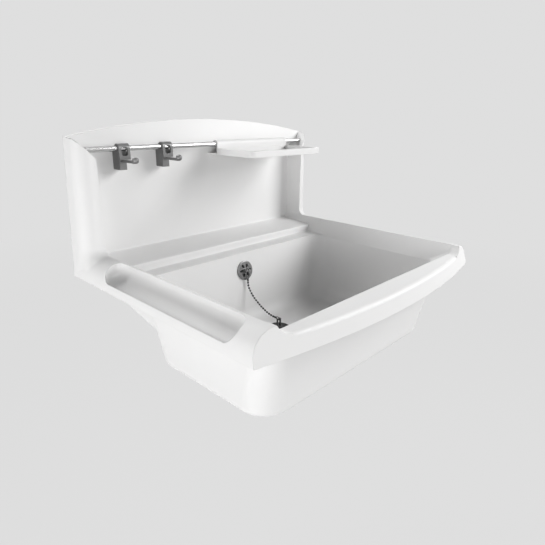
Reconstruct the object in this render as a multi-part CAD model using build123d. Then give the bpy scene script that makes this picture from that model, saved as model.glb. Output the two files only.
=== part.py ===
from build123d import *
from math import atan, cos, radians, sin, sqrt, tan
import os

# Wall-hung utility sink. Millimetres, +Z up, +Y into the wall.
# The origin is on the wall face, midway between the two wall holes.

# Overall
WIDTH = 620.0               # over the two rolled side rims
DEPTH = 520.0               # wall face to the middle of the front apron
CREST_HEIGHT = 70.0         # rim crest above the line of the wall holes
WALL = 5.0                  # moulding wall
CUT = 1.0                   # how far a cutting solid runs past the face it opens

# Side rims and front apron
ROLL_RADIUS = 40.0          # quarter round of the side rims and of the wings
RIM_DROP = 45.0             # crest down to the open bottom edge of the rim
APRON_BOW = 33.0            # how far the apron bows out in the middle
APRON_LEAN = 10.0           # how far the apron's foot stands in front of its top
FRONT_STEP = 15.0           # front rim below the side crests
FRONT_RIM = 47.5            # middle of the apron's foot to the bowl's front edge
FRONT_ROUND = 8.0           # rounded top edge of the apron
FRONT_CORNER = 25.0         # hollow round from the front rim up to each side crest
SADDLE = 15.0               # hollow round from the side crests up into the wings

# Soap troughs in the side rims
TROUGH_WIDTH = 43.0
TROUGH_LENGTH = 337.0
TROUGH_SIDE = 12.7          # middle of the trough's bottom outside the crest
TROUGH_DROP = 35.0          # and below the crest
TROUGH_FRONT = 74.0         # apron's foot to the trough's front end
TROUGH_TILT = 23.0          # degrees that the trough faces outwards
TROUGH_CORNER = 19.0        # round of its ends in plan
TROUGH_ROUND = 16.0         # round of its bottom

# Splashback
WING_DEPTH = 55.0           # wall face to the wings' front edge
WING_TAPER = 10.0           # each wing leans in by this at the arch's end
ARCH_RISE = 237.0           # top of the arch above the crest
ARCH_END_RISE = 208.0       # ends of the arch above the crest
PANEL_RECESS = 10.0         # wall face to the panel's face
CORNER_RISE = 171.0         # where the wings' inner edges start to splay out
CORNER_SPLAY = 49.0         # degrees from level
BAND_RISE = 188.0           # foot of the thick band under the arch
BAND_PROUD = 12.0           # band's foot in front of the panel
BAND_LEAN = 14.0            # band's top behind its foot
BAND_UNDERCUT = 6.0         # slope of the band's underside

# Ledge and bowl
LEDGE_DEPTH = 87.0          # panel to the ledge's front edge
LEDGE_DROP = 11.5           # ledge at the panel, below the crest
LEDGE_FALL = 6.5            # fall of the ledge to its front edge
RISER = 16.0                # ledge's front edge down to the tread
TREAD_DEPTH = 33.0
TREAD_FALL = 1.0
STEP_ROUND = 3.0            # edges of the ledge and the tread
FLARE = 18.0                # how far the bowl's lip draws in below the crest
FLARE_DROP = 38.0           # depth of that lip
FRONT_FLARE = 14.5          # how far it draws in behind the front rim
BOWL_DEPTH = 187.0          # crest to the floor
SIDE_DRAFT = 14.0           # bowl wall's lean in from lip to floor, each side
FRONT_DRAFT = 23.5
REAR_DRAFT = 26.0
RIM_CORNER = 8.0            # bowl's corner radius in plan at the front rim
LIP_CORNER = 30.0           # below the lip
BOWL_CORNER = 49.0          # and at the floor
FLOOR_ROUND = 35.0          # round from the walls into the floor
FOOT_ROUND = 18.0           # round of the bowl's outer bottom edge

# Underside and wall fixing
WEB_SPACING = 460.0         # between the middles of the two rear webs
WEB_WALL = 6.0
WEB_FOOT_REAR = 100.0       # webs' lower edge below the crest, at the wall
WEB_FOOT_FRONT = 135.0      # and at the bowl
BACK_PLATE = 8.0            # plate against the wall
BOLT_SPACING = 280.0
BOLT_HOLE = 12.0
BOLT_BOSS = 34.0
BOLT_BOSS_DEPTH = 11.0

# Rail with its hooks and tray
RAIL_DIAMETER = 10.0
RAIL_STANDOFF = 25.0        # panel to the rail's axis
RAIL_RISE = 186.0           # rail's axis above the crest
RAIL_SEAT = 11.0            # how deep the rail's ends sit in the wings
RAIL_BOSS = 24.0
RAIL_FIT = 0.1              # clearance round the rail's ends
SLIDE_FIT = 0.4             # clearance of what slides on the rail or along the panel
HOOK_WIDTH = 22.0
HOOK_SKIN = 3.5
HOOK_INSET = 61.0           # left wing to the middle of the left hook
HOOK_SPACING = 93.0         # between the middles of the two hooks
HOOK_PLATE_DROP = 20.0      # front plate's foot below the rail's axis
HOOK_BODY_DROP = 39.0       # body's foot below the rail's axis
HOOK_WINDOW_WIDTH = 13.0
HOOK_WINDOW_HEIGHT = 16.0
HOOK_WINDOW_ROUND = 4.3
HOOK_BLOCK_WIDTH = 14.0     # width of the block against the panel
HOOK_ARM = 4.5              # thickness of the arm
HOOK_ARM_WIDTH = 9.0
HOOK_ARM_ROUND = 1.1
HOOK_REACH = 44.0           # rail's axis to the middle of the knob
HOOK_KNOB = 11.5            # diameter of the knob at the arm's end
HOOK_KNOB_ROUND = 5.0
HOOK_CLIP_ANGLE = 15.0      # where the clip ends behind the rail, degrees above level
HOOK_WINDOW_TOP = 3.0       # window's top above the rail's axis
TRAY_INSET = 152.0          # right wing to the middle of the tray
TRAY_WIDTH = 217.0
TRAY_REACH = 117.0          # rail's axis to the tray's front
TRAY_SKIN = 3.0
TRAY_HEIGHT = 13.0
TRAY_DROP = 22.0            # tray's underside below the rail's axis
TRAY_CORNER = 12.0
TRAY_LIP = 5.0
TRAY_CLIP_ANGLE = -30.0

# Overflow
OVERFLOW_DROP = 73.0        # middle of the rosette below the crest
OVERFLOW_HOLE = 32.0
ROSETTE_DIAMETER = 42.0
ROSETTE_THICKNESS = 3.0
ROSETTE_ROUND = 1.5
ROSETTE_SLOTS = 6
SLOT_WIDTH = 5.0
SLOT_RING = 11.0            # rosette's middle to the middle of a slot
SLOT_LENGTH = 9.0
OVERFLOW_SEAL = 3.0
ELBOW_FLANGE = 48.0
ELBOW_CHAMBER = 38.0
ELBOW_DEPTH = 30.0
ELBOW_WALL = 3.0
SPIGOT_DIAMETER = 27.0
SPIGOT_LENGTH = 16.0
PIPE_DIAMETER = 22.0
PIPE_WALL = 2.0
PIPE_BEND = 30.0
PIPE_FIT = 0.3
NUT_DIAMETER = 36.0
NUT_HEIGHT = 16.0
NUT_LIP = 4.0
NUT_FLUTES = 12
NUT_FLUTE = 3.0
PIPE_SEAL = 2.0             # sealing ring between a spigot's end and its nut
SCREW_DIAMETER = 5.0
SCREW_HEAD = 9.0
SCREW_HEAD_HEIGHT = 3.0
EYE_RING = 4.5              # middle radius of the chain's eye
EYE_WIRE = 1.2              # wire radius of the eye

# Waste
WASTE_FORWARD = 240.0       # wall face to the waste's axis
WASTE_HOLE = 58.0
FLANGE_DIAMETER = 70.0
FLANGE_THICKNESS = 2.5
FLANGE_SEAL = 1.5
SEAT_TOP = 48.0             # plug seat's bore at the flange
SEAT_FOOT = 44.0            # and at its foot
SEAT_DEPTH = 24.0
STRAINER_SKIN = 2.5
STRAINER_BAR = 5.0
STRAINER_HUB = 17.0
UNDER_SEAL = 3.0
CUP_FLANGE = 78.0
CUP_FLANGE_THICKNESS = 4.0
CUP_BORE = 60.0
CUP_WALL = 3.0
CUP_DEPTH = 34.0
TAIL_DIAMETER = 47.8        # G 1 1/2 thread
TAIL_BORE = 40.0
TAIL_LENGTH = 42.0
SPIDER_HEIGHT = 10.0
INLET_GAP = 2.5             # cup's flange down to the overflow inlet
CLAMP_SCREW = 8.0
CLAMP_HEAD = 13.0
CLAMP_HEAD_HEIGHT = 5.0
SCREW_FIT = 0.2

# Plug and chain
PLUG_DIAMETER = 50.0
PLUG_THICKNESS = 10.0
PLUG_FIT = 0.6              # clearance of the plug's taper in its seat
PLUG_TAPER_DEPTH = 12.0
PLUG_CHAMFER = 2.0
STIRRUP_WIDTH = 11.0
STIRRUP_HEIGHT = 20.0
STIRRUP_BAR = 2.6
STIRRUP_FOOT = 2.0
STIRRUP_STEM = 6.0
BALL_DIAMETER = 4.5
BALL_PITCH = 6.3
CHAIN_WIRE = 1.4
LINK_WIRE = 1.6
LINK_WIDTH = 7.0
UPPER_LINK = 18.0
LOWER_LINK = 12.0
LINK_FIT = 0.25
FERRULE_DIAMETER = 4.0
FERRULE_LENGTH = 5.0
FERRULE_BORE = 3.0          # depth of the hole that takes the chain's end rod
ARC_SHARE = 0.45            # part of a run that the chain's arc takes at each end
CHAIN_POINTS = (            # (Y, Z) of the hanging chain between its two links
    (-147.0, -34.0),
    (-151.5, -43.0),
    (-160.0, -53.0),
    (-172.0, -63.0),
    (-187.0, -72.0),
    (-203.0, -79.5),
    (-217.0, -83.9),
)

# Places that follow from the sizes
half_width = WIDTH / 2
crest_x = half_width - ROLL_RADIUS
crest_z = CREST_HEIGHT
panel_y = -PANEL_RECESS
band_y = panel_y - BAND_PROUD
ledge_y = panel_y - LEDGE_DEPTH
bowl_rear_y = ledge_y - TREAD_DEPTH
bowl_front_y = -(DEPTH - FRONT_RIM)
top_z = crest_z + ARCH_RISE
apron_radius = (half_width ** 2 + APRON_BOW ** 2) / (2 * APRON_BOW)
apron_centre_y = apron_radius - DEPTH
arch_half = half_width - WING_TAPER
arch_sag = ARCH_RISE - ARCH_END_RISE
arch_radius = (arch_half ** 2 + arch_sag ** 2) / (2 * arch_sag)
rail_y = panel_y - RAIL_STANDOFF
rail_z = crest_z + RAIL_RISE
hook_left_x = HOOK_INSET - crest_x
hook_right_x = hook_left_x + HOOK_SPACING
tray_x = crest_x - TRAY_INSET
floor_z = crest_z - BOWL_DEPTH
tread_drop = LEDGE_DROP + LEDGE_FALL + RISER + TREAD_FALL


def below_crest(drop):
    return crest_z - drop


def rear_wall_y(drop):
    """Inner face of the bowl's rear wall at a drop below the crest."""
    return bowl_rear_y - REAR_DRAFT * (drop - FLARE_DROP) / (BOWL_DEPTH - FLARE_DROP)


def wing_half(rise):
    """Half of the width over the leaning wings at a rise above the crest."""
    return half_width - WING_TAPER * (rise + RIM_DROP) / (ARCH_END_RISE + RIM_DROP)


def splay_x(rise):
    """Inner face of the splayed wing corner at a rise above the crest."""
    return crest_x + (rise - CORNER_RISE) / tan(radians(CORNER_SPLAY))


rail_half = splay_x(RAIL_RISE) + RAIL_SEAT
wall_lean = atan(REAR_DRAFT / (BOWL_DEPTH - FLARE_DROP))
wall_through = WALL * cos(wall_lean)
overflow_plane = Plane(
    origin=(0, rear_wall_y(OVERFLOW_DROP), below_crest(OVERFLOW_DROP)),
    x_dir=(1, 0, 0),
    z_dir=(0, -cos(wall_lean), sin(wall_lean)),
)
seal_back = wall_through + OVERFLOW_SEAL
screw_tip = -seal_back - ELBOW_DEPTH + 2 * ELBOW_WALL
eye_offset = ROSETTE_THICKNESS + SCREW_HEAD_HEIGHT + EYE_RING
eye = overflow_plane.from_local_coords(Vector(0, 0, eye_offset))
spigot_top = overflow_plane.from_local_coords(Vector(0, 0, -seal_back - ELBOW_DEPTH / 2))
spigot_foot_z = spigot_top.Z - ELBOW_CHAMBER / 2 - SPIGOT_LENGTH
socket_depth = SPIGOT_LENGTH - ELBOW_WALL
pipe_socket = PIPE_DIAMETER / 2 + PIPE_FIT
pipe_bore = PIPE_DIAMETER / 2 - PIPE_WALL
waste_y = -WASTE_FORWARD
flange_top_z = floor_z + FLANGE_SEAL + FLANGE_THICKNESS
seat_foot_z = flange_top_z - SEAT_DEPTH
cup_top_z = floor_z - WALL - UNDER_SEAL
cup_foot_z = cup_top_z - CUP_DEPTH
tail_foot_z = cup_foot_z - TAIL_LENGTH
nut_overlap = NUT_HEIGHT - NUT_LIP - PIPE_SEAL
inlet_z = cup_top_z - CUP_FLANGE_THICKNESS - INLET_GAP - SPIGOT_DIAMETER / 2
inlet_end_y = waste_y + CUP_FLANGE / 2 + nut_overlap + CUT
plug_top_z = flange_top_z + PLUG_THICKNESS
stirrup_bar_z = plug_top_z + STIRRUP_HEIGHT - STIRRUP_BAR / 2
link_bore = LINK_WIDTH / 2 - LINK_WIRE
link_top_z = eye.Z - EYE_RING + EYE_WIRE + LINK_FIT + LINK_WIRE
link_grip = sqrt(link_bore ** 2 - (STIRRUP_BAR / 2) ** 2) - LINK_FIT
link_lower_y = waste_y - STIRRUP_BAR / 2 + link_grip - LINK_WIDTH / 2
upper_spigot = Plane(origin=(0, spigot_top.Y, spigot_foot_z), z_dir=(0, 0, -1))
lower_spigot = Plane(origin=(0, inlet_end_y, inlet_z), z_dir=(0, 1, 0))


def rim_slab(inset, past):
    """Full-width slab with rolled sides, from the wall to past the apron."""
    outline = Rectangle(2 * (half_width - inset), RIM_DROP - inset + past, align=(Align.CENTER, Align.MAX))
    outline = fillet(outline.vertices().group_by(Axis.Y)[-1], ROLL_RADIUS - inset)
    outline = Plane.XZ * Pos(0, crest_z - inset) * outline
    return Pos(0, past, 0) * extrude(outline, DEPTH + 2 * past)


def apron_cone(inset, top_drop, past, top_round=0.0):
    """The bowed, leaning front as a large cone about an upright axis behind the wall."""
    lean = APRON_LEAN / RIM_DROP
    foot_radius = apron_radius - inset + lean * past
    height = RIM_DROP - top_drop + past
    upright = (Align.CENTER, Align.CENTER, Align.MIN)
    cone = Cone(foot_radius, foot_radius - lean * height, height, align=upright)
    if top_round > 0:
        cone = fillet(cone.edges().group_by(Axis.Z)[-1], top_round)
    return Pos(0, apron_centre_y, below_crest(RIM_DROP) - past) * cone


def splash_block(inset, past):
    """Wings and splashback as one block: plan outline with rolled corners, leaning in, under the arch."""
    foot_rise = -RIM_DROP - past
    sections = []
    for rise in (foot_rise, ARCH_RISE + past):
        half = wing_half(rise) - inset
        outline = Rectangle(2 * half, WING_DEPTH - inset + past, align=(Align.CENTER, Align.MIN))
        outline = Pos(0, -(WING_DEPTH - inset), crest_z + rise) * outline
        sections.append(fillet(outline.vertices().group_by(Axis.Y)[0], half - crest_x))
    block = loft(sections, ruled=True)
    arch = Cylinder(arch_radius - inset, 2 * DEPTH, rotation=(90, 0, 0))
    return block & Pos(0, 0, top_z - arch_radius) * arch


def saddle(side):
    """Fills the corner where a rolled rim turns up into its wing: a block less a ring-shaped hollow."""
    roll = wing_half(SADDLE) - crest_x
    away = Rectangle(roll, SADDLE + roll, align=Align.MIN)
    away -= Pos(0, SADDLE + roll) * Circle(roll)
    turn_axis = Pos(side * crest_x, -WING_DEPTH - SADDLE, crest_z + SADDLE)
    ring_hollow = revolve(away, Axis.X, 90)
    reach = SADDLE + roll
    block = Box(roll, reach, reach, align=(Align.MIN, Align.MIN, Align.MAX))
    fill = block - Rot(-90, 0, 0) * ring_hollow
    if side < 0:
        fill = mirror(fill, about=Plane.YZ)
    return turn_axis * fill


def envelope(inset, past):
    rim = rim_slab(inset, past) & apron_cone(inset, inset, past)
    return rim + splash_block(inset, past)


def grown(outline, amount):
    if amount > 0:
        return offset(outline, amount, kind=Kind.INTERSECTION)
    return outline


def splash_recess(grow):
    """The space in front of the panel and over the ledge, between the wings."""
    sky = top_z + 2 * WALL
    lip_y = band_y + BAND_LEAN * (sky - crest_z - BAND_RISE) / (ARCH_RISE - BAND_RISE)
    tread_z = below_crest(tread_drop - TREAD_FALL)
    side = Polygon(
        (panel_y, below_crest(LEDGE_DROP)),
        (panel_y, crest_z + BAND_RISE - BAND_UNDERCUT),
        (band_y, crest_z + BAND_RISE),
        (lip_y, sky),
        (bowl_rear_y, sky),
        (bowl_rear_y, tread_z - TREAD_FALL),
        (ledge_y, tread_z),
        (ledge_y, below_crest(LEDGE_DROP + LEDGE_FALL)),
        align=None,
    )
    stepped = [v for v in side.vertices() if v.Y < crest_z and v.X > bowl_rear_y + CUT]
    side = grown(fillet(stepped, STEP_ROUND), grow)
    across = extrude(Plane.YZ * side, WIDTH, both=True)
    rise = sky - crest_z - CORNER_RISE
    splay = rise / tan(radians(CORNER_SPLAY))
    draw_in = FLARE * (RIM_DROP + WALL) / FLARE_DROP
    right = [
        (crest_x - draw_in, below_crest(RIM_DROP + WALL)),
        (crest_x, crest_z),
        (crest_x, crest_z + CORNER_RISE),
        (crest_x + splay, sky),
    ]
    left = [(-x, z) for x, z in reversed(right)]
    opening = grown(Polygon(*right, *left, align=None), grow)
    return across & extrude(Plane.XZ * opening, DEPTH, both=True)


def bowl_section(drop, half, front, rear, corner, grow):
    outline = RectangleRounded(2 * (half + grow), rear - front + 2 * grow, corner + grow)
    return Pos(0, (front + rear) / 2, below_crest(drop)) * outline


def lip_section(drop, corner, past, grow):
    """Plan of the drawn-in lip at a drop below the crest, run on behind the bowl by some length."""
    half = crest_x - FLARE * drop / FLARE_DROP
    below_rim = max(drop - FRONT_STEP, 0)
    front = bowl_front_y + FRONT_FLARE * below_rim / (FLARE_DROP - FRONT_STEP)
    return bowl_section(drop, half, front, bowl_rear_y + past, corner, grow)


def bowl_mouth(grow):
    """The lip's upper part, open at the rear to the space over the tread."""
    past = LIP_CORNER + grow
    sections = [
        lip_section(0, RIM_CORNER, past, grow),
        lip_section(FRONT_STEP, RIM_CORNER, past, grow),
        lip_section(tread_drop + grow, LIP_CORNER, past, grow),
    ]
    front_part = Box(WIDTH, DEPTH, DEPTH, align=(Align.CENTER, Align.MAX, Align.CENTER))
    return loft(sections, ruled=True) & Pos(0, bowl_rear_y + grow, 0) * front_part


def bowl_cavity(grow, floor_round):
    """Tapering walls from the tread down to a floor with a round edge."""
    run = (BOWL_DEPTH + grow - FLARE_DROP) / (BOWL_DEPTH - FLARE_DROP)
    floor_half = crest_x - FLARE - SIDE_DRAFT * run
    floor_front = bowl_front_y + FRONT_FLARE + FRONT_DRAFT * run
    floor_rear = bowl_rear_y - REAR_DRAFT * run
    sections = [
        lip_section(tread_drop, LIP_CORNER, 0, grow),
        lip_section(FLARE_DROP, LIP_CORNER, 0, grow),
        bowl_section(BOWL_DEPTH + grow, floor_half, floor_front, floor_rear, BOWL_CORNER, grow),
    ]
    basin = loft(sections, ruled=True)
    return fillet(basin.edges().group_by(Axis.Z)[0], floor_round)


def front_corner(side):
    """Material left in a front corner, under the hollow round from the rim up to the crest."""
    foot_z = below_crest(FRONT_STEP + FRONT_ROUND)
    block = Box(FRONT_CORNER, DEPTH, FRONT_STEP + FRONT_ROUND, align=(Align.MAX, Align.MAX, Align.MIN))
    lengthwise = (Align.CENTER, Align.CENTER, Align.MIN)
    hollow = Cylinder(FRONT_CORNER, DEPTH, rotation=(90, 0, 0), align=lengthwise)
    corner = block - Pos(-FRONT_CORNER, 0, FRONT_CORNER + FRONT_ROUND) * hollow
    if side < 0:
        corner = mirror(corner, about=Plane.YZ)
    return Pos(side * crest_x, 0, foot_z) * corner


def front_cut(grow):
    """The step down from the side crests to the front rim, with the apron's round top edge."""
    rear_y = bowl_front_y + FRONT_ROUND + grow
    size = (2 * (crest_x + grow), rear_y + DEPTH + CUT, RIM_DROP + CUT)
    box = Pos(0, rear_y, below_crest(RIM_DROP)) * Box(*size, align=(Align.CENTER, Align.MAX, Align.MIN))
    cut = box - apron_cone(grow, FRONT_STEP + grow, CUT, FRONT_ROUND)
    if grow > 0:
        return cut
    return cut - [front_corner(side) for side in (-1, 1)]


def trough(side, grow):
    """Soap trough with rounded ends and bottom, along a side rim and facing outwards."""
    plan = RectangleRounded(TROUGH_WIDTH + 2 * grow, TROUGH_LENGTH + 2 * grow, TROUGH_CORNER + grow)
    shape = Pos(0, 0, -grow) * extrude(plan, 2 * ROLL_RADIUS + grow)
    shape = fillet(shape.edges().group_by(Axis.Z)[0], TROUGH_ROUND + grow)
    middle_y = -DEPTH + TROUGH_FRONT + TROUGH_LENGTH / 2
    place = Pos(side * (crest_x + TROUGH_SIDE), middle_y, below_crest(TROUGH_DROP))
    return place * Rot(0, side * TROUGH_TILT, 0) * shape


def cavities(grow):
    shapes = [splash_recess(grow), bowl_mouth(grow), bowl_cavity(grow, FLOOR_ROUND), front_cut(grow)]
    shapes += [trough(side, grow) for side in (-1, 1)]
    return shapes


def rear_webs():
    """Two upright webs from the bowl to the wall, and the plate between them that takes the wall bolts."""
    web_front_y = bowl_rear_y - REAR_DRAFT
    fall = (WEB_FOOT_FRONT - WEB_FOOT_REAR) / -web_front_y
    inside_y = web_front_y - BOWL_CORNER
    outline = Polygon(
        (0, below_crest(WEB_FOOT_REAR)),
        (0, below_crest(LEDGE_DROP)),
        (inside_y, below_crest(LEDGE_DROP)),
        (inside_y, below_crest(WEB_FOOT_REAR - fall * inside_y)),
        align=None,
    )
    web = extrude(Plane.YZ * outline, WEB_WALL / 2, both=True)
    plate_height = WEB_FOOT_REAR - LEDGE_DROP
    plate = Box(
        WEB_SPACING + WEB_WALL, BACK_PLATE, plate_height, align=(Align.CENTER, Align.MAX, Align.MIN)
    )
    shapes = [Pos(0, 0, below_crest(WEB_FOOT_REAR)) * plate]
    for side in (-1, 1):
        shapes.append(Pos(side * WEB_SPACING / 2, 0, 0) * web)
        boss = Cylinder(BOLT_BOSS / 2, BOLT_BOSS_DEPTH, rotation=(90, 0, 0))
        shapes.append(Pos(side * BOLT_SPACING / 2, -BOLT_BOSS_DEPTH / 2, 0) * boss)
    return shapes


def across_rail(radius, half_length):
    return Pos(0, rail_y, rail_z) * Cylinder(radius, 2 * half_length, rotation=(0, 90, 0))


def basin_moulding():
    outer_bowl = bowl_cavity(WALL, FOOT_ROUND)
    room = Box(WIDTH, DEPTH, BOWL_DEPTH, align=(Align.CENTER, Align.MAX, Align.MAX))
    block = envelope(0, 0) + [saddle(side) for side in (-1, 1)]
    body = block + (outer_bowl & Pos(0, 0, below_crest(FLARE_DROP)) * room)
    hollow = envelope(WALL, CUT)
    for shape in cavities(WALL):
        hollow -= shape
    body -= hollow
    body += rear_webs()
    body += across_rail(RAIL_BOSS / 2, WIDTH) & block
    for shape in cavities(0):
        body -= shape
    body -= across_rail(RAIL_DIAMETER / 2 + RAIL_FIT, rail_half)
    for side in (-1, 1):
        bolt = Cylinder(BOLT_HOLE / 2, 4 * BOLT_BOSS_DEPTH, rotation=(90, 0, 0))
        body -= Pos(side * BOLT_SPACING / 2, 0, 0) * bolt
    body -= overflow_plane * Cylinder(OVERFLOW_HOLE / 2, 4 * WALL)
    body -= Pos(0, waste_y, floor_z) * Cylinder(WASTE_HOLE / 2, 4 * WALL)
    return body


def accessory_rail():
    return across_rail(RAIL_DIAMETER / 2, rail_half)


def rail_clip(skin, back_angle):
    """Side outline of a clip over the rail, about the rail's axis: open behind, straight down in front."""
    inner = RAIL_DIAMETER / 2 + SLIDE_FIT
    outer = inner + skin
    ring = Circle(outer) - Circle(inner)
    reach = 2 * outer
    open_side = Polygon(
        (0, 0),
        (reach, reach * tan(radians(back_angle))),
        (reach, -reach),
        (-reach, -reach),
        (-reach, 0),
        align=None,
    )
    return ring - open_side


def hook(x):
    """Clip-on hook: clip, windowed front plate, block against the panel, arm with a round knob."""
    inner = RAIL_DIAMETER / 2 + SLIDE_FIT
    outer = inner + HOOK_SKIN
    back = RAIL_STANDOFF - SLIDE_FIT
    plate = Polygon(
        (-outer, 0),
        (-inner, 0),
        (-inner, -HOOK_PLATE_DROP),
        (-outer, -HOOK_PLATE_DROP),
        align=None,
    )
    block = Polygon(
        (-inner - CUT, -HOOK_PLATE_DROP),
        (-inner - CUT, -inner),
        (back, -inner),
        (back, -HOOK_BODY_DROP),
        (0, -HOOK_BODY_DROP),
        (0, -HOOK_PLATE_DROP),
        align=None,
    )
    outline = rail_clip(HOOK_SKIN, HOOK_CLIP_ANGLE) + plate
    body = extrude(Plane.YZ * outline, HOOK_WIDTH / 2, both=True)
    body += extrude(Plane.YZ * block, HOOK_BLOCK_WIDTH / 2, both=True)
    arm_z = -HOOK_PLATE_DROP - HOOK_ARM / 2
    window_align = (Align.CENTER, Align.MAX, Align.MAX)
    window = Box(HOOK_WINDOW_WIDTH, outer + CUT, HOOK_WINDOW_HEIGHT, align=window_align)
    window = fillet(window.edges().filter_by(Axis.Y), HOOK_WINDOW_ROUND)
    body -= Pos(0, 0, HOOK_WINDOW_TOP) * window
    arm = Box(HOOK_ARM_WIDTH, HOOK_REACH, HOOK_ARM, align=(Align.CENTER, Align.MAX, Align.CENTER))
    arm = fillet(arm.edges().filter_by(Axis.Y), HOOK_ARM_ROUND)
    body += Pos(0, CUT, arm_z) * arm
    knob = Cylinder(HOOK_KNOB / 2, HOOK_KNOB, align=(Align.CENTER, Align.CENTER, Align.MIN))
    knob = fillet(knob.edges().filter_by(GeomType.CIRCLE), HOOK_KNOB_ROUND)
    body += Pos(0, -HOOK_REACH, arm_z - HOOK_ARM / 2) * knob
    return Pos(x, rail_y, rail_z) * body


def soap_tray():
    """Dished tray on a rolled clip over the rail, with a foot that leans on the panel."""
    inner = RAIL_DIAMETER / 2 + SLIDE_FIT
    outer = inner + TRAY_SKIN
    back = RAIL_STANDOFF - SLIDE_FIT
    wall = Polygon((-outer, 0), (-inner, 0), (-inner, -TRAY_DROP), (-outer, -TRAY_DROP), align=None)
    foot = Polygon(
        (-outer, -TRAY_DROP),
        (-outer, TRAY_SKIN - TRAY_DROP),
        (back, TRAY_SKIN - TRAY_DROP),
        (back, -TRAY_DROP),
        align=None,
    )
    outline = rail_clip(TRAY_SKIN, TRAY_CLIP_ANGLE) + wall + foot
    clip = extrude(Plane.YZ * outline, TRAY_WIDTH / 2, both=True)
    plan = Rectangle(TRAY_WIDTH, TRAY_REACH - inner, align=(Align.CENTER, Align.MIN))
    plan = fillet(plan.vertices().group_by(Axis.Y)[0], TRAY_CORNER)
    dish = extrude(plan, TRAY_HEIGHT)
    hollow_reach = TRAY_REACH - inner - 2 * TRAY_LIP
    hollow = Rectangle(TRAY_WIDTH - 2 * TRAY_LIP, hollow_reach, align=(Align.CENTER, Align.MIN))
    hollow = fillet(hollow.vertices().group_by(Axis.Y)[0], TRAY_CORNER - TRAY_LIP / 2)
    dish -= Pos(0, TRAY_LIP, TRAY_SKIN) * extrude(hollow, TRAY_HEIGHT)
    body = clip + Pos(0, -TRAY_REACH, -TRAY_DROP) * dish
    return Pos(tray_x, rail_y, rail_z) * body


def disc(radius, low, high):
    return Pos(0, 0, low) * Cylinder(radius, high - low, align=(Align.CENTER, Align.CENTER, Align.MIN))


def ring(outer, inner, low, high):
    return disc(outer, low, high) - disc(inner, low, high)


def overflow_rosette():
    cover = disc(ROSETTE_DIAMETER / 2, 0, ROSETTE_THICKNESS)
    cover = fillet(cover.edges().group_by(Axis.Z)[-1], ROSETTE_ROUND)
    slot = extrude(SlotOverall(SLOT_LENGTH, SLOT_WIDTH), 4 * ROSETTE_THICKNESS, both=True)
    cover -= PolarLocations(SLOT_RING, ROSETTE_SLOTS) * slot
    cover -= disc(SCREW_DIAMETER / 2 + SCREW_FIT, -CUT, ROSETTE_THICKNESS + CUT)
    return overflow_plane * cover


def overflow_screw():
    """Centre screw of the rosette; its head carries the ring that the chain hangs from."""
    shank = disc(SCREW_DIAMETER / 2, screw_tip, ROSETTE_THICKNESS)
    head = disc(SCREW_HEAD / 2, ROSETTE_THICKNESS, ROSETTE_THICKNESS + SCREW_HEAD_HEIGHT)
    loop = Torus(EYE_RING, EYE_WIRE, rotation=(0, 90, 0))
    return overflow_plane * (shank + head + Pos(0, 0, eye_offset) * loop)


def overflow_seal():
    return overflow_plane * ring(ELBOW_FLANGE / 2 - CUT, OVERFLOW_HOLE / 2, -seal_back, -wall_through)


def overflow_elbow():
    """Chamber behind the rosette with a spigot straight down for the pipe."""
    chamber_back = -seal_back - ELBOW_DEPTH
    shell = disc(ELBOW_FLANGE / 2, -seal_back - ELBOW_WALL, -seal_back)
    shell += disc(ELBOW_CHAMBER / 2, chamber_back, -seal_back)
    drop = Pos(0, spigot_top.Y, spigot_foot_z) * disc(SPIGOT_DIAMETER / 2, 0, spigot_top.Z - spigot_foot_z)
    body = overflow_plane * shell + drop
    chamber_bore = ELBOW_CHAMBER / 2 - ELBOW_WALL
    body -= overflow_plane * disc(chamber_bore, chamber_back + ELBOW_WALL, -seal_back + CUT)
    body -= Pos(0, spigot_top.Y, 0) * disc(pipe_bore, spigot_foot_z - CUT, spigot_top.Z)
    body -= Pos(0, spigot_top.Y, 0) * disc(pipe_socket, spigot_foot_z - CUT, spigot_foot_z + socket_depth)
    post = disc(SCREW_HEAD / 2, chamber_back + CUT, -seal_back)
    body += overflow_plane * post
    body -= overflow_plane * disc(SCREW_DIAMETER / 2 + SCREW_FIT, screw_tip, CUT)
    return body


def pipe_nut(plane):
    """Union nut round a spigot's end, with grip flutes."""
    low = -nut_overlap
    nut = disc(NUT_DIAMETER / 2, low, PIPE_SEAL + NUT_LIP)
    nut -= disc(SPIGOT_DIAMETER / 2 + PIPE_FIT, low - CUT, PIPE_SEAL)
    nut -= disc(pipe_socket, low, PIPE_SEAL + NUT_LIP + CUT)
    flute = disc(NUT_FLUTE / 2, low - CUT, PIPE_SEAL + NUT_LIP + CUT)
    nut -= PolarLocations(NUT_DIAMETER / 2, NUT_FLUTES) * flute
    return plane * nut


def pipe_seal(plane):
    return plane * ring(SPIGOT_DIAMETER / 2, pipe_socket, 0, PIPE_SEAL)


def overflow_pipe():
    route = FilletPolyline(
        (0, spigot_top.Y, spigot_foot_z + socket_depth),
        (0, spigot_top.Y, inlet_z),
        (0, inlet_end_y - socket_depth, inlet_z),
        radius=PIPE_BEND,
    )
    start = Plane(origin=route @ 0, z_dir=route % 0)
    outside = sweep(start * Circle(PIPE_DIAMETER / 2), path=route)
    bore = sweep(start * Circle(pipe_bore), path=route)
    return outside - bore


def cross_bars(length, height, foot_z):
    bar = Box(length, STRAINER_BAR, height, align=(Align.CENTER, Align.CENTER, Align.MIN))
    return [Pos(0, 0, foot_z) * Rot(0, 0, turn) * bar for turn in (0, 90)]


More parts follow.
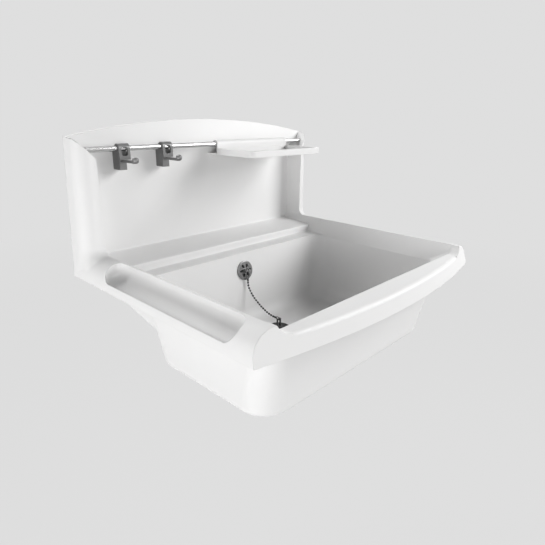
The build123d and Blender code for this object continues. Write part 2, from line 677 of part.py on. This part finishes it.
def waste_strainer():
    """Flange with the plug's tapered seat, and a barred foot that the clamp screw pulls on."""
    outline = Polygon(
        (SEAT_TOP / 2, flange_top_z),
        (FLANGE_DIAMETER / 2, flange_top_z),
        (FLANGE_DIAMETER / 2, flange_top_z - FLANGE_THICKNESS),
        (SEAT_TOP / 2 + STRAINER_SKIN, flange_top_z - FLANGE_THICKNESS),
        (SEAT_FOOT / 2 + STRAINER_SKIN, seat_foot_z),
        (SEAT_FOOT / 2, seat_foot_z),
        align=None,
    )
    body = revolve(Plane.XZ * outline, Axis.Z)
    body += cross_bars(SEAT_FOOT + STRAINER_SKIN, STRAINER_BAR, seat_foot_z)
    body += disc(STRAINER_HUB / 2, seat_foot_z, seat_foot_z + STRAINER_BAR)
    body -= disc(CLAMP_SCREW / 2 + SCREW_FIT, seat_foot_z - CUT, seat_foot_z + STRAINER_BAR + CUT)
    return Pos(0, waste_y, 0) * body


def waste_flange_seal():
    seal = ring(FLANGE_DIAMETER / 2 - CUT, WASTE_HOLE / 2, floor_z, floor_z + FLANGE_SEAL)
    return Pos(0, waste_y, 0) * seal


def waste_under_seal():
    seal = ring(CUP_FLANGE / 2 - CUT, CUP_BORE / 2, cup_top_z, cup_top_z + UNDER_SEAL)
    return Pos(0, waste_y, 0) * seal


def waste_body():
    """Cup under the bowl with the overflow's inlet, a barred boss for the clamp screw and the tail."""
    body = disc(CUP_FLANGE / 2, cup_top_z - CUP_FLANGE_THICKNESS, cup_top_z)
    body += disc(CUP_BORE / 2 + CUP_WALL, cup_foot_z - CUP_WALL, cup_top_z)
    body += disc(TAIL_DIAMETER / 2, tail_foot_z, cup_foot_z)
    inlet_length = inlet_end_y - waste_y
    inward = Plane(origin=(0, inlet_length, inlet_z), z_dir=(0, -1, 0))
    body += inward * disc(SPIGOT_DIAMETER / 2, 0, inlet_length)
    body -= disc(CUP_BORE / 2, cup_foot_z, cup_top_z + CUT)
    body -= disc(TAIL_BORE / 2, tail_foot_z - CUT, cup_foot_z + CUT)
    body -= inward * disc(pipe_bore, -CUT, inlet_length)
    body -= inward * disc(pipe_socket, -CUT, socket_depth)
    spider_z = cup_foot_z - CUP_WALL
    body += cross_bars(TAIL_DIAMETER, SPIDER_HEIGHT, spider_z)
    body += disc(STRAINER_HUB / 2, spider_z, spider_z + SPIDER_HEIGHT)
    body -= disc(CLAMP_SCREW / 2 + SCREW_FIT, spider_z - CUT, cup_top_z)
    return Pos(0, waste_y, 0) * body


def waste_clamp_screw():
    head_z = seat_foot_z + STRAINER_BAR
    screw = disc(CLAMP_HEAD / 2, head_z, head_z + CLAMP_HEAD_HEIGHT)
    screw += disc(CLAMP_SCREW / 2, cup_foot_z - CUP_WALL, head_z)
    return Pos(0, waste_y, 0) * screw


def waste_plug():
    """Rubber plug: a tapered plug under a wider top disc that rests on the flange."""
    taper = (SEAT_TOP - SEAT_FOOT) / 2 * PLUG_TAPER_DEPTH / SEAT_DEPTH
    neck = SEAT_TOP / 2 - PLUG_FIT
    outline = Polygon(
        (0, plug_top_z),
        (PLUG_DIAMETER / 2 - PLUG_CHAMFER, plug_top_z),
        (PLUG_DIAMETER / 2, plug_top_z - PLUG_CHAMFER),
        (PLUG_DIAMETER / 2, flange_top_z),
        (neck, flange_top_z),
        (neck - taper, flange_top_z - PLUG_TAPER_DEPTH),
        (0, flange_top_z - PLUG_TAPER_DEPTH),
        align=None,
    )
    plug = revolve(Plane.XZ * outline, Axis.Z)
    plug -= disc(STIRRUP_STEM / 2 + SCREW_FIT, plug_top_z - STIRRUP_STEM, plug_top_z + CUT)
    return Pos(0, waste_y, 0) * plug


def plug_stirrup():
    """Loop on the plug's top, on a round foot with a stem that sits in the plug."""
    outside = Rectangle(STIRRUP_WIDTH, STIRRUP_HEIGHT, align=(Align.CENTER, Align.MIN))
    outside = fillet(outside.vertices().group_by(Axis.Y)[-1], STIRRUP_BAR)
    window_width = STIRRUP_WIDTH - 2 * STIRRUP_BAR
    window_height = STIRRUP_HEIGHT - STIRRUP_FOOT - STIRRUP_BAR
    inside = Rectangle(window_width, window_height, align=(Align.CENTER, Align.MIN))
    loop = extrude(Plane.XZ * (outside - Pos(0, STIRRUP_FOOT) * inside), STIRRUP_BAR / 2, both=True)
    foot = disc(STIRRUP_WIDTH / 2 + STIRRUP_BAR, 0, STIRRUP_FOOT)
    stem = disc(STIRRUP_STEM / 2, -STIRRUP_STEM, 0)
    return Pos(0, waste_y, plug_top_z) * (loop + foot + stem)


def chain_link(length):
    """Long wire link hanging from its own top, with a ferrule below that takes the chain's end rod."""
    bend = LINK_WIDTH / 2 - LINK_WIRE / 2
    leg = length - LINK_WIDTH
    middle_z = -LINK_WIRE / 2 - bend - leg / 2
    outline = SlotCenterToCenter(leg, 2 * bend, rotation=90)
    path = outline.wire()
    start = Plane(origin=path @ 0, z_dir=path % 0)
    wire = sweep(start * Circle(LINK_WIRE / 2), path=path)
    link = Plane.XZ * (Pos(0, middle_z) * wire)
    foot_z = -length - FERRULE_LENGTH
    ferrule = disc(FERRULE_DIAMETER / 2, foot_z, -length + LINK_WIRE / 2)
    ferrule -= disc(CHAIN_WIRE / 2 + LINK_FIT, foot_z - CUT, foot_z + FERRULE_BORE)
    return link + ferrule


def chain_link_upper():
    return Pos(0, eye.Y, link_top_z) * chain_link(UPPER_LINK)


def chain_link_lower():
    hang = Plane(origin=(0, link_lower_y, stirrup_bar_z), x_dir=(0, 0, 1), z_dir=(0, -1, 0))
    return hang * chain_link(LOWER_LINK)


def chain_route():
    """Runs joined by arcs as large as the runs allow, in the middle plane of the sink."""
    start = (eye.Y, link_top_z - UPPER_LINK - FERRULE_LENGTH)
    end = (link_lower_y + LOWER_LINK + FERRULE_LENGTH, stirrup_bar_z)
    points = [Vector(0, y, z) for y, z in (start, *CHAIN_POINTS, end)]
    radii = []
    for before, corner, after in zip(points, points[1:], points[2:]):
        turn = (corner - before).get_angle(after - corner)
        shorter = min((corner - before).length, (after - corner).length)
        radii.append(ARC_SHARE * shorter / tan(radians(turn) / 2))
    print("chain radii", [round(radius, 1) for radius in radii])
    return FilletPolyline(*points, radius=radii)


def plug_chain():
    """Ball chain: balls at an even pitch along the hanging route, on a wire from ball to ball."""
    route = chain_route()
    count = round(route.length / BALL_PITCH)
    middles = [route @ ((i + 0.5) / count) for i in range(count)]
    chain = [Pos(*middle) * Sphere(BALL_DIAMETER / 2) for middle in middles]
    tucked = FERRULE_BORE - LINK_FIT
    ends = [route @ 0 - (route % 0) * tucked, *middles, route @ 1 + (route % 1) * tucked]
    for low, high in zip(ends, ends[1:]):
        rod = Plane(origin=low, z_dir=high - low) * disc(CHAIN_WIRE / 2, 0, (high - low).length)
        chain.append(rod)
    return chain[0] + chain[1:]


def write(name, shape):
    export_step(shape, f"parts/{name}.step")


os.makedirs("parts", exist_ok=True)
write("basin_moulding", basin_moulding())
write("accessory_rail", accessory_rail())
write("hook_left", hook(hook_left_x))
write("hook_right", hook(hook_right_x))
write("soap_tray", soap_tray())
write("overflow_rosette", overflow_rosette())
write("overflow_screw", overflow_screw())
write("overflow_seal", overflow_seal())
write("overflow_elbow", overflow_elbow())
write("overflow_nut_upper", pipe_nut(upper_spigot))
write("overflow_nut_lower", pipe_nut(lower_spigot))
write("overflow_pipe_seal_upper", pipe_seal(upper_spigot))
write("overflow_pipe_seal_lower", pipe_seal(lower_spigot))
write("overflow_pipe", overflow_pipe())
write("waste_strainer", waste_strainer())
write("waste_flange_seal", waste_flange_seal())
write("waste_under_seal", waste_under_seal())
write("waste_body", waste_body())
write("waste_clamp_screw", waste_clamp_screw())
write("waste_plug", waste_plug())
write("plug_stirrup", plug_stirrup())
write("chain_link_upper", chain_link_upper())
write("chain_link_lower", chain_link_lower())
write("plug_chain", plug_chain())
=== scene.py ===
from math import pi, radians

import bpy
from mathutils import Matrix, Vector


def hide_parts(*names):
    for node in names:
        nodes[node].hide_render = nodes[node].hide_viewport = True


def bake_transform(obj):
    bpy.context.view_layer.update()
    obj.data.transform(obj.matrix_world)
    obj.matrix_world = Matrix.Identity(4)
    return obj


# Wall-hung utility sink: finishes, ball chain, studio and camera. Metres, +Z up, +Y into the wall.

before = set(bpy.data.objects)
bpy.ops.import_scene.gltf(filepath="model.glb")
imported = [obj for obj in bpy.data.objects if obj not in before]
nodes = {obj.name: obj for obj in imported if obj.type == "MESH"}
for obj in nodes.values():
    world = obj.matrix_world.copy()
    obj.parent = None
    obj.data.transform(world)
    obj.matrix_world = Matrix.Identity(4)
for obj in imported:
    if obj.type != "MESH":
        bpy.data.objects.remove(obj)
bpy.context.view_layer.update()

# Camera
CAMERA_PLACE = (-0.65733, -0.84848, 0.32006)
CAMERA_YAW = 46.28          # degrees from +Y towards +X
CAMERA_PITCH = 18.70        # degrees down
CAMERA_ROLL = 0.75          # degrees
CAMERA_LENS = 31.07         # millimetres
SENSOR_WIDTH = 36.0         # millimetres

# Studio
FLOOR_Z = -0.83             # puts the rim at the usual working height
FLOOR_SIZE = 14.0
FLOOR_GREY = 0.7
FLOOR_ROUGHNESS = 0.9
FLOOR_GLOW = 0.94           # the backdrop's share of the floor near the object; far from it, the share is 1
FLOOR_FADE = (1.2, 4.0)     # distances between which that share rises
BACKDROP_GREY = 0.737
AMBIENT = 0.05
LAMPS = (                   # name, place, power in watts, size
    ("key", (1.45, -1.45, 1.08), 42.5, 1.2),
    ("back", (-0.2, 0.9, 1.7), 26.0, 1.2),
    ("side", (-1.9, -0.45, -0.34), 18.5, 1.1),
    ("front", (-0.75, -1.9, 0.12), 12.0, 0.9),
    ("rear_left", (-1.8, 0.5, 0.3), 8.0, 1.2),
    ("rear_right", (1.6, 1.5, 0.3), 7.5, 1.4),
)
AIM = (0.0, -0.25, 0.05)

# Places of the waste and the overflow
WASTE_AXIS = (0.0, -0.24, 0.0)
OVERFLOW_CENTRE = (0.0, -0.1361, -0.003)
OVERFLOW_TILT = 9.9         # degrees that the bowl's rear wall leans back

# In the finishes below, SHADES are two greys, a pattern of noise has a scale and a detail, ROUGHNESS is the
# least value and what each pattern adds, RELIEF is a depth and a strength, and EDGE is a rounding's radius.
USUAL_IOR = 1.5
EDGE_SAMPLES = 6
WAVE_PERIOD = pi / 10       # length of one wave of the Wave texture at a scale of 1

# White moulding
WHITE_IOR = 1.49
WHITE_SHADES = (0.745, 0.765)
WHITE_WARMTH = 0.002
WHITE_GRAIN = (1500.0, 3.0)
WHITE_CLOUD = (11.0, 4.0)
WHITE_ROUGHNESS = (0.41, 0.08, 0.05)
WHITE_RELIEF = (0.00003, 0.5)
WHITE_EDGE = 0.0013

# Polished rail
RAIL_SHADES = (0.55, 0.63)
RAIL_STRETCH = (6.0, 900.0, 900.0)
RAIL_STREAKS = (1.0, 3.0)
RAIL_SMEARS = (35.0, 3.0)
RAIL_ROUGHNESS = (0.08, 0.10, 0.05)
RAIL_RELIEF = (0.00002, 0.4)

# Satin hooks
HOOK_METALLIC = 0.7
HOOK_SHADES = (0.15, 0.20)
HOOK_GRAIN = (2200.0, 2.0)
HOOK_CLOUD = (60.0, 3.0)
HOOK_ROUGHNESS = (0.34, 0.14)
HOOK_RELIEF = (0.00004, 0.6)
HOOK_EDGE = 0.0008

# Turned metal of the rosette and the waste
ROSETTE_SHADES = (0.22, 0.31)
ROSETTE_PITCH = 0.000377    # between two turning marks
WASTE_SHADES = (0.55, 0.66)
WASTE_PITCH = 0.00044
TURNED_DISTORTION = 1.5
TURNED_STAIN = (140.0, 4.0)
TURNED_ROUGHNESS = (0.22, 0.10, 0.12)
TURNED_RELIEF = (0.00002, 0.5)
TURNED_EDGE = 0.0004

# Plating of the chain
PLATING_SHADES = (0.05, 0.09)
PLATING_STAIN = (420.0, 4.0)
PLATING_ROUGHNESS = (0.20, 0.16)

# Black rubber
RUBBER_SPECULAR = 0.35
RUBBER_SHADES = (0.018, 0.034)
RUBBER_GRAIN = (1800.0, 3.0)
RUBBER_BLOOM = (90.0, 4.0)
RUBBER_BLOOM_SPAN = (0.35, 0.75)
RUBBER_ROUGHNESS = (0.58, 0.16, 0.08)
RUBBER_RELIEF = (0.00004, 0.6)
RUBBER_EDGE = 0.0006

# Black moulding of the stirrup
BLACK_SHADES = (0.020, 0.030)
BLACK_GRAIN = (1700.0, 2.0)
BLACK_ROUGHNESS = (0.32, 0.16)
BLACK_RELIEF = (0.00003, 0.5)
BLACK_EDGE = 0.0005

# Pipe plastic and the thread on the waste's tail
PIPE_SHADES = (0.60, 0.68)
PIPE_GRAIN = (1200.0, 2.0)
PIPE_GRAIN_DEPTH = 0.000012
PIPE_STRETCH = (60.0, 60.0, 14.0)
PIPE_FLOW = (1.0, 4.0)
PIPE_ROUGHNESS = (0.34, 0.12, 0.05)
PIPE_RELIEF = (1.0, 1.0)    # its pattern is in metres already
PIPE_EDGE = 0.0006
THREAD_PITCH = 0.0023
THREAD_DEPTH = 0.0008
THREAD_TOP = -0.1645

# Ball chain
CHAIN_ROUTE = (             # (Y, Z) from the upper link's ferrule to the lower one's
    (-0.14645, -0.02565),
    (-0.147, -0.034),
    (-0.1515, -0.043),
    (-0.160, -0.053),
    (-0.172, -0.063),
    (-0.187, -0.072),
    (-0.203, -0.0795),
    (-0.217, -0.0839),
    (-0.22666, -0.0843),
)
ROUTE_STEPS = 24            # points of the smooth line for each stretch of the route
BALL_COUNT = 17
BALL_RADIUS = 0.00225
BALL_SEGMENTS = 20
BALL_RINGS = 12
WIRE_RADIUS = 0.0007
WIRE_SIDES = 10
CHAIN_INPUTS = {            # sizes that the chain's tree takes
    "Ball count": ("NodeSocketInt", BALL_COUNT),
    "Ball radius": ("NodeSocketFloat", BALL_RADIUS),
    "Wire radius": ("NodeSocketFloat", WIRE_RADIUS),
}

# Sockets of a Mix node that work on colours
MIX_SHARE = 0
MIX_FIRST = 6
MIX_SECOND = 7
MIX_RESULT = 2


class Field:
    """One output of a node. Arithmetic on it adds Math nodes."""

    def __init__(self, maker, socket):
        self.maker = maker
        self.socket = socket

    def math(self, operation, *values):
        return self.maker.node("ShaderNodeMath", {"operation": operation}, dict(enumerate(values)))

    def __add__(self, other):
        return self.math("ADD", self, other)

    def __sub__(self, other):
        return self.math("SUBTRACT", self, other)

    def __rsub__(self, other):
        return self.math("SUBTRACT", other, self)

    def __mul__(self, other):
        return self.math("MULTIPLY", self, other)

    def __truediv__(self, other):
        return self.math("DIVIDE", self, other)

    def __rtruediv__(self, other):
        return self.math("DIVIDE", other, self)

    __radd__ = __add__
    __rmul__ = __mul__


class NodeMaker:
    """Adds nodes to a tree."""

    def __init__(self, tree):
        self.tree = tree

    def node(self, kind, settings, sockets, output=0):
        """Adds one node with its settings, then the values or links of its sockets. Gives one output."""
        node = self.tree.nodes.new(kind)
        for name, value in settings.items():
            setattr(node, name, value)
        for socket, value in sockets.items():
            self.feed(node.inputs[socket], value)
        return Field(self, node.outputs[output])

    def feed(self, socket, value):
        if isinstance(value, Field):
            self.tree.links.new(value.socket, socket)
        else:
            socket.default_value = value


class Finish(NodeMaker):
    """A material with one Principled shader, on which its constants are set."""

    def __init__(self, name, constants):
        self.material = bpy.data.materials.new(name)
        self.material.use_nodes = True
        super().__init__(self.material.node_tree)
        self.shader = self.tree.nodes["Principled BSDF"]
        for socket, value in constants.items():
            self.shader.inputs[socket].default_value = value

    def place(self, centre=(0, 0, 0), turn=(0, 0, 0)):
        """Object coordinates about a centre, turned back by the given angles."""
        here = self.node("ShaderNodeTexCoord", {}, {}, "Object")
        sockets = {"Vector": here, "Location": centre, "Rotation": turn}
        return self.node("ShaderNodeMapping", {"vector_type": "TEXTURE"}, sockets)

    def stretched(self, scale):
        """Object coordinates with a scale of their own along each axis."""
        here = self.node("ShaderNodeTexCoord", {}, {}, "Object")
        return self.node("ShaderNodeMapping", {}, {"Vector": here, "Scale": scale})

    def noise(self, place, pattern):
        scale, detail = pattern
        return self.node("ShaderNodeTexNoise", {}, {"Vector": place, "Scale": scale, "Detail": detail})

    def ramp(self, value, low, high):
        """0 at the low value and 1 at the high one."""
        return self.node("ShaderNodeMapRange", {}, {"Value": value, "From Min": low, "From Max": high})

    def shaded(self, share, shades, warmth=0.0):
        """Colour between two greys."""
        first, second = shades
        sockets = {MIX_SHARE: share, MIX_FIRST: grey(first, warmth), MIX_SECOND: grey(second, warmth)}
        return self.node("ShaderNodeMix", {"data_type": "RGBA"}, sockets, MIX_RESULT)

    def rounded(self, radius):
        """Normal of a softly rounded edge."""
        return self.node("ShaderNodeBevel", {"samples": EDGE_SAMPLES}, {"Radius": radius})

    def bump(self, height, relief, normal=None):
        depth, strength = relief
        sockets = {"Height": height, "Distance": depth, "Strength": strength}
        if normal is not None:
            sockets["Normal"] = normal
        return self.node("ShaderNodeBump", {}, sockets)

    def paint(self, socket, field):
        self.feed(self.shader.inputs[socket], field)


def grey(value, warmth=0.0):
    return (value + warmth, value, value - warmth, 1)


def white_moulding():
    """Satin white moulded plastic: fine grain, faint cloudiness, soft edges."""
    finish = Finish("white_moulding", {"IOR": WHITE_IOR})
    here = finish.place()
    grain = finish.noise(here, WHITE_GRAIN)
    cloud = finish.noise(here, WHITE_CLOUD)
    least, from_cloud, from_grain = WHITE_ROUGHNESS
    finish.paint("Base Color", finish.shaded(cloud, WHITE_SHADES, WHITE_WARMTH))
    finish.paint("Roughness", least + from_cloud * cloud + from_grain * grain)
    finish.paint("Normal", finish.bump(grain, WHITE_RELIEF, finish.rounded(WHITE_EDGE)))
    return finish.material


def polished_rail():
    """Polished tube with fine drawing marks along its length."""
    finish = Finish("polished_rail", {"Metallic": 1.0})
    streaks = finish.noise(finish.stretched(RAIL_STRETCH), RAIL_STREAKS)
    smears = finish.noise(finish.place(), RAIL_SMEARS)
    least, from_streaks, from_smears = RAIL_ROUGHNESS
    finish.paint("Base Color", finish.shaded(smears, RAIL_SHADES))
    finish.paint("Roughness", least + from_streaks * streaks + from_smears * smears)
    finish.paint("Normal", finish.bump(streaks, RAIL_RELIEF))
    return finish.material


def satin_hook():
    """Dark satin metal with a fine blasted grain."""
    finish = Finish("satin_hook", {"Metallic": HOOK_METALLIC, "IOR": USUAL_IOR})
    here = finish.place()
    grain = finish.noise(here, HOOK_GRAIN)
    cloud = finish.noise(here, HOOK_CLOUD)
    least, from_grain = HOOK_ROUGHNESS
    finish.paint("Base Color", finish.shaded(cloud, HOOK_SHADES))
    finish.paint("Roughness", least + from_grain * grain)
    finish.paint("Normal", finish.bump(grain, HOOK_RELIEF, finish.rounded(HOOK_EDGE)))
    return finish.material


def turned_metal(name, centre, turn, shades, pitch):
    """Satin metal with fine concentric turning marks about an axis."""
    finish = Finish(name, {"Metallic": 1.0})
    here = finish.place(centre, turn)
    settings = {"wave_type": "RINGS", "rings_direction": "Z"}
    sockets = {"Vector": here, "Scale": WAVE_PERIOD / pitch, "Distortion": TURNED_DISTORTION}
    rings = finish.node("ShaderNodeTexWave", settings, sockets)
    stain = finish.noise(here, TURNED_STAIN)
    least, from_rings, from_stain = TURNED_ROUGHNESS
    finish.paint("Base Color", finish.shaded(stain, shades))
    finish.paint("Roughness", least + from_rings * rings + from_stain * stain)
    finish.paint("Normal", finish.bump(rings, TURNED_RELIEF, finish.rounded(TURNED_EDGE)))
    return finish.material


def chain_plating():
    """Dark plated metal with faint stains."""
    finish = Finish("chain_plating", {"Metallic": 1.0})
    stain = finish.noise(finish.place(), PLATING_STAIN)
    least, from_stain = PLATING_ROUGHNESS
    finish.paint("Base Color", finish.shaded(stain, PLATING_SHADES))
    finish.paint("Roughness", least + from_stain * stain)
    return finish.material


def rubber():
    """Black rubber: matt, with a faint grey bloom."""
    finish = Finish("rubber", {"IOR": USUAL_IOR, "Specular IOR Level": RUBBER_SPECULAR})
    here = finish.place()
    grain = finish.noise(here, RUBBER_GRAIN)
    bloom = finish.ramp(finish.noise(here, RUBBER_BLOOM), *RUBBER_BLOOM_SPAN)
    least, from_bloom, from_grain = RUBBER_ROUGHNESS
    finish.paint("Base Color", finish.shaded(bloom, RUBBER_SHADES))
    finish.paint("Roughness", least + from_bloom * bloom + from_grain * grain)
    finish.paint("Normal", finish.bump(grain, RUBBER_RELIEF, finish.rounded(RUBBER_EDGE)))
    return finish.material


def black_moulding():
    """Black satin plastic."""
    finish = Finish("black_moulding", {"IOR": USUAL_IOR})
    grain = finish.noise(finish.place(), BLACK_GRAIN)
    least, from_grain = BLACK_ROUGHNESS
    finish.paint("Base Color", finish.shaded(grain, BLACK_SHADES))
    finish.paint("Roughness", least + from_grain * grain)
    finish.paint("Normal", finish.bump(grain, BLACK_RELIEF, finish.rounded(BLACK_EDGE)))
    return finish.material


def thread_relief(finish, here):
    """Height of the thread round the waste's tail, from its top down."""
    settings = {"wave_type": "BANDS", "bands_direction": "Z", "wave_profile": "TRI"}
    sockets = {"Vector": here, "Scale": WAVE_PERIOD / THREAD_PITCH}
    ridges = finish.node("ShaderNodeTexWave", settings, sockets)
    height = finish.node("ShaderNodeSeparateXYZ", {}, {"Vector": here}, "Z")
    return THREAD_DEPTH * ridges * finish.ramp(height, THREAD_TOP, THREAD_TOP - THREAD_PITCH)


def pipe_moulding(name, threaded):
    """Pale grey pipe plastic with faint flow marks, and the tail's thread where it is threaded."""
    finish = Finish(name, {"IOR": USUAL_IOR})
    here = finish.place()
    grain = finish.noise(here, PIPE_GRAIN)
    flow = finish.noise(finish.stretched(PIPE_STRETCH), PIPE_FLOW)
    least, from_flow, from_grain = PIPE_ROUGHNESS
    finish.paint("Base Color", finish.shaded(flow, PIPE_SHADES))
    finish.paint("Roughness", least + from_flow * flow + from_grain * grain)
    relief = PIPE_GRAIN_DEPTH * grain
    if threaded:
        relief = relief + thread_relief(finish, here)
    finish.paint("Normal", finish.bump(relief, PIPE_RELIEF, finish.rounded(PIPE_EDGE)))
    return finish.material


def link(obj):
    bpy.context.scene.collection.objects.link(obj)
    return obj


def dress(material, *names):
    for name in names:
        nodes[name].data.materials.clear()
        nodes[name].data.materials.append(material)


def chain_route():
    """The hanging chain's line: a smooth spline with the route's points as its control points."""
    curve = bpy.data.curves.new("chain_route", "CURVE")
    curve.dimensions = "3D"
    curve.resolution_u = ROUTE_STEPS
    spline = curve.splines.new("NURBS")
    spline.points.add(len(CHAIN_ROUTE) - 1)
    for point, (y, z) in zip(spline.points, CHAIN_ROUTE):
        point.co = (0, y, z, 1)
    spline.order_u = 3
    spline.use_endpoint_u = True
    holder = bpy.data.objects.new("chain_route", curve)
    line = bpy.data.meshes.new_from_object(holder)
    bpy.data.objects.remove(holder)
    return line


def chain_tree(material):
    """Balls at an even pitch along a line, on a wire. Gives the tree, and its sizes by their sockets."""
    tree = bpy.data.node_groups.new("ball_chain", "GeometryNodeTree")
    tree.interface.new_socket("Geometry", in_out="OUTPUT", socket_type="NodeSocketGeometry")
    tree.interface.new_socket("Line", in_out="INPUT", socket_type="NodeSocketGeometry")
    values = {}
    for name, (kind, value) in CHAIN_INPUTS.items():
        socket = tree.interface.new_socket(name, in_out="INPUT", socket_type=kind)
        socket.default_value = value
        values[socket.identifier] = value
    maker = NodeMaker(tree)

    def given(name):
        return maker.node("NodeGroupInput", {}, {}, name)

    count = given("Ball count")
    half_pitch = 0.5 / count
    line = maker.node("GeometryNodeMeshToCurve", {}, {"Mesh": given("Line")})
    trim = {"Curve": line, "Start": half_pitch, "End": 1 - half_pitch}
    inner = maker.node("GeometryNodeTrimCurve", {}, trim)
    middles = maker.node("GeometryNodeResampleCurve", {}, {"Curve": inner, "Count": count})
    sphere = {"Segments": BALL_SEGMENTS, "Rings": BALL_RINGS, "Radius": given("Ball radius")}
    ball = maker.node("GeometryNodeMeshUVSphere", {}, sphere)
    balls = maker.node("GeometryNodeInstanceOnPoints", {}, {"Points": middles, "Instance": ball})
    circle = {"Resolution": WIRE_SIDES, "Radius": given("Wire radius")}
    profile = maker.node("GeometryNodeCurvePrimitiveCircle", {}, circle)
    tube = {"Curve": line, "Profile Curve": profile, "Fill Caps": True}
    wire = maker.node("GeometryNodeCurveToMesh", {}, tube)
    both = maker.node("GeometryNodeJoinGeometry", {}, {"Geometry": balls})
    maker.feed(both.socket.node.inputs["Geometry"], wire)
    real = maker.node("GeometryNodeRealizeInstances", {}, {"Geometry": both})
    smooth = maker.node("GeometryNodeSetShadeSmooth", {}, {"Geometry": real})
    done = maker.node("GeometryNodeSetMaterial", {}, {"Geometry": smooth, "Material": material})
    maker.feed(tree.nodes.new("NodeGroupOutput").inputs["Geometry"], done)
    return tree, values


def grown_mesh(name, base, tree, values):
    """Runs a geometry tree on a base mesh and returns the result as a plain object."""
    worker = link(bpy.data.objects.new(name + "_worker", base))
    modifier = worker.modifiers.new("grow", "NODES")
    modifier.node_group = tree
    for identifier, value in values.items():
        modifier[identifier] = value
    graph = bpy.context.evaluated_depsgraph_get()
    mesh = bpy.data.meshes.new_from_object(worker.evaluated_get(graph))
    bpy.data.objects.remove(worker)
    mesh.name = name
    return link(bpy.data.objects.new(name, mesh))


def ball_chain(material):
    """The plug's chain, drawn along a fixed curved line between the sink and the plug."""
    line = chain_route()
    tree, values = chain_tree(material)
    chain = grown_mesh("ball_chain", line, tree, values)
    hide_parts("plug_chain")
    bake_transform(chain)


def lamp(name, place, power, size):
    light = bpy.data.lights.new(name, "AREA")
    light.energy = power
    light.size = size
    obj = link(bpy.data.objects.new(name, light))
    aim = Vector(AIM) - Vector(place)
    obj.matrix_world = Matrix.Translation(place) @ aim.to_track_quat("-Z", "Y").to_matrix().to_4x4()


def seen_rays(maker):
    """1 for rays that show the backdrop itself: straight, mirrored or through glass."""
    path = maker.tree.nodes.new("ShaderNodeLightPath")
    seen = Field(maker, path.outputs["Is Camera Ray"])
    for name in ("Is Glossy Ray", "Is Transmission Ray"):
        seen = seen.math("MAXIMUM", seen, Field(maker, path.outputs[name]))
    return seen


def show_backdrop(maker, share, lit, shown, output):
    """Gives the output a mix of two shaders: the share of the shown one, the rest of the lit one."""
    mix = maker.node("ShaderNodeMixShader", {}, {"Fac": share, 1: lit, 2: shown})
    maker.feed(maker.tree.nodes[output].inputs["Surface"], mix)


def backdrop():
    """Plain backdrop that gives the object only a little light."""
    world = bpy.data.worlds.new("backdrop")
    bpy.context.scene.world = world
    world.use_nodes = True
    maker = NodeMaker(world.node_tree)
    ambient = world.node_tree.nodes["Background"]
    ambient.inputs["Color"].default_value = grey(1.0)
    ambient.inputs["Strength"].default_value = AMBIENT
    shown = maker.node("ShaderNodeBackground", {}, {"Color": grey(BACKDROP_GREY), "Strength": 1.0})
    show_backdrop(maker, seen_rays(maker), Field(maker, ambient.outputs[0]), shown, "World Output")


def floor():
    """Pale floor that runs into the backdrop and keeps a faint shadow."""
    mesh = bpy.data.meshes.new("floor")
    half = FLOOR_SIZE / 2
    corners = [(x, y, FLOOR_Z) for x, y in ((-half, -half), (half, -half), (half, half), (-half, half))]
    mesh.from_pydata(corners, [], [(0, 1, 2, 3)])
    finish = Finish("pale_floor", {"Roughness": FLOOR_ROUGHNESS, "Base Color": grey(FLOOR_GREY)})
    glow = finish.node("ShaderNodeEmission", {}, {"Color": grey(BACKDROP_GREY)})
    distance = finish.node("ShaderNodeVectorMath", {"operation": "LENGTH"}, {0: finish.place()}, "Value")
    share = FLOOR_GLOW + (1 - FLOOR_GLOW) * finish.ramp(distance, *FLOOR_FADE)
    lit = Field(finish, finish.shader.outputs[0])
    show_backdrop(finish, share * seen_rays(finish), lit, glow, "Material Output")
    mesh.materials.append(finish.material)
    link(bpy.data.objects.new("floor", mesh))


def camera():
    data = bpy.data.cameras.new("camera")
    data.lens = CAMERA_LENS
    data.sensor_width = SENSOR_WIDTH
    obj = link(bpy.data.objects.new("camera", data))
    yaw = Matrix.Rotation(-radians(CAMERA_YAW), 4, "Z")
    pitch = Matrix.Rotation(pi / 2 - radians(CAMERA_PITCH), 4, "X")
    roll = Matrix.Rotation(radians(CAMERA_ROLL), 4, "Z")
    obj.matrix_world = Matrix.Translation(CAMERA_PLACE) @ yaw @ pitch @ roll
    bpy.context.scene.camera = obj


overflow_turn = (pi / 2 - radians(OVERFLOW_TILT), 0, 0)
upright = (0, 0, 0)
pipe = pipe_moulding("pipe_moulding", threaded=False)
threaded_tail = pipe_moulding("threaded_tail", threaded=True)
black_rubber = rubber()
plating = chain_plating()
rosette_metal = turned_metal("rosette_metal", OVERFLOW_CENTRE, overflow_turn, ROSETTE_SHADES, ROSETTE_PITCH)
waste_metal = turned_metal("waste_metal", WASTE_AXIS, upright, WASTE_SHADES, WASTE_PITCH)

dress(white_moulding(), "basin_moulding", "soap_tray")
dress(polished_rail(), "accessory_rail")
dress(satin_hook(), "hook_left", "hook_right")
dress(rosette_metal, "overflow_rosette", "overflow_screw")
dress(waste_metal, "waste_strainer", "waste_clamp_screw")
dress(black_rubber, "waste_plug", "overflow_seal", "waste_flange_seal", "waste_under_seal")
dress(black_rubber, "overflow_pipe_seal_upper", "overflow_pipe_seal_lower")
dress(black_moulding(), "plug_stirrup")
dress(pipe, "overflow_elbow", "overflow_nut_upper", "overflow_nut_lower", "overflow_pipe")
dress(threaded_tail, "waste_body")
dress(plating, "chain_link_upper", "chain_link_lower")
ball_chain(plating)

bpy.context.scene.view_settings.view_transform = "Standard"
backdrop()
floor()
for name, place, power, size in LAMPS:
    lamp(name, place, power, size)
camera()
